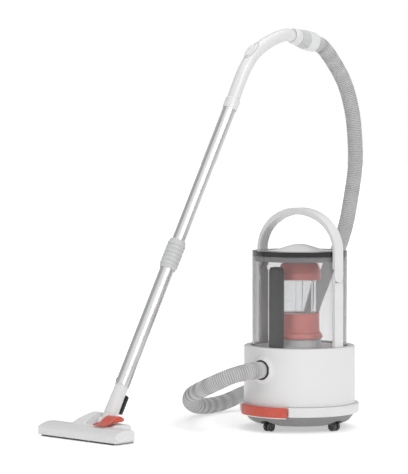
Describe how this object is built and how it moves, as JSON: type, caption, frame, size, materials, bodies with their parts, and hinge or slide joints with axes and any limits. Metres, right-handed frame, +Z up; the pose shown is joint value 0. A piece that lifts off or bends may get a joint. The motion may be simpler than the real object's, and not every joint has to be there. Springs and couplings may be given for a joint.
{
  "type": "canister vacuum cleaner",
  "caption": "Upright drum vacuum cleaner on casters with a clear dust tank, folding carry handle, ribbed hose, telescopic wand and floor nozzle.",
  "frame": {"origin": "on the floor, in the middle of the box around the machine without its hose", "axes": "+Z up; -Y is the front, where the nozzle, the foot pedal and the hose inlet face; +X is the machine's side away from the wand"},
  "size_m": [0.5059, 0.9961, 0.9842],
  "materials": {
    "white_plastic": "moulded, glossy",
    "grey_plastic": "satin",
    "pale_plastic": "satin",
    "dark_plastic": "satin",
    "black_plastic": "glossy",
    "red_plastic": "glossy",
    "smoke_clear": "clear, lightly smoked",
    "clear_plastic": "clear, ribbed",
    "hose_vinyl": "finely corrugated",
    "tube_chrome": "polished, plated",
    "steel": "turned",
    "foam": "open foam",
    "copper": "wound wire",
    "filter_paper": "pleated",
    "rubber": "soft, matte"
  },
  "bodies": {
    "base": {"chassis_pan": "grey_plastic", "base_flange": "white_plastic", "drum_shell": "white_plastic", "inlet_seal": "rubber", "hose_end_fitting": "pale_plastic", "cord_gland": "rubber", "inlet_duct": "grey_plastic", "motor_deck": "pale_plastic", "motor_damper": "rubber", "motor_housing": "pale_plastic", "motor_stator": "copper", "exhaust_filter": "foam", "pedal_pin": "steel", "switch_body": "black_plastic", "tank_shell": "smoke_clear", "tank_floor": "pale_plastic", "inlet_riser": "dark_plastic", "handle_leg_left": "white_plastic", "handle_leg_right": "white_plastic", "handle_pin_left": "steel", "handle_pin_right": "steel", "hose": "hose_vinyl", "hose_cuff": "white_plastic", "cuff_bellows": "grey_plastic"},
    "handle": {"handle_arch": "white_plastic"},
    "pedal": {"foot_pedal": "red_plastic", "pedal_strip": "tube_chrome"},
    "switch": {"switch_plunger": "red_plastic"},
    "lid": {"lid_ring": "black_plastic", "lid_skirt": "dark_plastic", "lid_dome": "pale_plastic"},
    "filter": {"filter_flange": "red_plastic", "filter_cup": "red_plastic", "filter_cage": "clear_plastic", "filter_cap": "red_plastic", "filter_core": "filter_paper"},
    "rotor": {"motor_rotor": "steel", "impeller": "pale_plastic"},
    "fork_front": {"caster_fork_front": "grey_plastic"},
    "fork_right": {"caster_fork_right": "grey_plastic"},
    "fork_rear": {"caster_fork_rear": "grey_plastic"},
    "fork_left": {"caster_fork_left": "grey_plastic"},
    "wheel_front": {"caster_wheel_front": "dark_plastic"},
    "wheel_right": {"caster_wheel_right": "dark_plastic"},
    "wheel_rear": {"caster_wheel_rear": "dark_plastic"},
    "wheel_left": {"caster_wheel_left": "dark_plastic"},
    "wand_upper": {"grip_ring": "white_plastic", "grip": "white_plastic", "upper_tube": "tube_chrome"},
    "bleed": {"bleed_slider": "pale_plastic"},
    "wand_lower": {"lower_tube": "tube_chrome", "nozzle_neck": "white_plastic", "parking_rib": "dark_plastic"},
    "collar": {"clamp_collar": "pale_plastic"},
    "elbow": {"neck_elbow": "white_plastic"},
    "head": {"nozzle_shell": "white_plastic", "sole_plate": "grey_plastic"},
    "rocker": {"mode_rocker": "red_plastic"},
    "brush": {"brush_strip": "dark_plastic"},
    "roller": {"nozzle_roller": "rubber"}
  },
  "joints": [
    {"name": "handle_fold", "type": "hinge", "parent": "base", "child": "handle", "pos_m": [0.09875, 0.12648, 0.372], "axis": [1, 0, 0], "range_deg": [0, 90]},
    {"name": "foot_pedal_press", "type": "hinge", "parent": "base", "child": "pedal", "pos_m": [0.09875, 0.02648, 0.048], "axis": [1, 0, 0], "range_deg": [0, 6], "stiffness_Nm_per_rad": 6, "springref_deg": -3.44},
    {"name": "switch_press", "type": "slide", "parent": "base", "child": "switch", "axis": [0, 0, -1], "range_m": [0, 0.0018]},
    {"name": "lid_turn", "type": "hinge", "parent": "base", "child": "lid", "pos_m": [0.09875, 0.12648, 0.42], "axis": [0, 0, 1], "range_deg": [0, 30]},
    {"name": "filter_turn", "type": "hinge", "parent": "base", "child": "filter", "pos_m": [0.09875, 0.12648, 0.3], "axis": [0, 0, 1], "range_deg": [0, 30]},
    {"name": "motor_spin", "type": "hinge", "parent": "base", "child": "rotor", "pos_m": [0.09875, 0.12648, 0.07], "axis": [0, 0, 1], "continuous": true},
    {"name": "caster_front_swivel", "type": "hinge", "parent": "base", "child": "fork_front", "pos_m": [0.09875, 0.02848, 0.028], "axis": [0, 0, 1], "continuous": true},
    {"name": "caster_right_swivel", "type": "hinge", "parent": "base", "child": "fork_right", "pos_m": [0.19675, 0.12648, 0.028], "axis": [0, 0, 1], "continuous": true},
    {"name": "caster_rear_swivel", "type": "hinge", "parent": "base", "child": "fork_rear", "pos_m": [0.09875, 0.22448, 0.028], "axis": [0, 0, 1], "continuous": true},
    {"name": "caster_left_swivel", "type": "hinge", "parent": "base", "child": "fork_left", "pos_m": [0.00075, 0.12648, 0.028], "axis": [0, 0, 1], "continuous": true},
    {"name": "caster_front_roll", "type": "hinge", "parent": "fork_front", "child": "wheel_front", "pos_m": [0.09875, 0.01648, 0.012], "axis": [1, 0, 0], "continuous": true},
    {"name": "caster_right_roll", "type": "hinge", "parent": "fork_right", "child": "wheel_right", "pos_m": [0.20875, 0.12648, 0.012], "axis": [0, 1, 0], "continuous": true},
    {"name": "caster_rear_roll", "type": "hinge", "parent": "fork_rear", "child": "wheel_rear", "pos_m": [0.09875, 0.23648, 0.012], "axis": [1, 0, 0], "continuous": true},
    {"name": "caster_left_roll", "type": "hinge", "parent": "fork_left", "child": "wheel_left", "pos_m": [-0.01125, 0.12648, 0.012], "axis": [0, 1, 0], "continuous": true},
    {"name": "cuff_swivel", "type": "hinge", "parent": "base", "child": "wand_upper", "pos_m": [-0.10625, 0.33048, 0.965], "axis": [0, 0.9848, -0.1736], "continuous": true},
    {"name": "bleed_slide", "type": "slide", "parent": "wand_upper", "child": "bleed", "axis": [0, 0.7448, 0.6673], "range_m": [0, 0.01]},
    {"name": "wand_telescope", "type": "slide", "parent": "wand_upper", "child": "wand_lower", "axis": [0, 0.4935, 0.8698], "range_m": [0, 0.22]},
    {"name": "collar_unlock", "type": "slide", "parent": "wand_lower", "child": "collar", "axis": [0, 0.4935, 0.8698], "range_m": [0, 0.008], "stiffness_N_per_m": 700, "springref_m": -0.004},
    {"name": "neck_turn", "type": "hinge", "parent": "wand_lower", "child": "elbow", "pos_m": [-0.10625, -0.27652, 0.117], "axis": [0, 0.4935, 0.8698], "range_deg": [-60, 60]},
    {"name": "head_pitch", "type": "hinge", "parent": "elbow", "child": "head", "pos_m": [-0.10625, -0.32452, 0.032], "axis": [1, 0, 0], "range_deg": [-25, 45]},
    {"name": "rocker_press", "type": "hinge", "parent": "head", "child": "rocker", "pos_m": [-0.06425, -0.35152, 0.042], "axis": [-1, 0, 0], "range_deg": [0, 8]},
    {"name": "brush_lift", "type": "slide", "parent": "head", "child": "brush", "axis": [0, 0, 1], "range_m": [0, 0.0042]},
    {"name": "roller_spin", "type": "hinge", "parent": "head", "child": "roller", "pos_m": [-0.10825, -0.31352, 0.0065], "axis": [1, 0, 0], "continuous": true}
  ],
  "couplings": [
    {"joint": "switch_press", "follows": "foot_pedal_press", "m_per_rad": 0.017},
    {"joint": "brush_lift", "follows": "rocker_press", "m_per_rad": 0.0287}
  ]
}
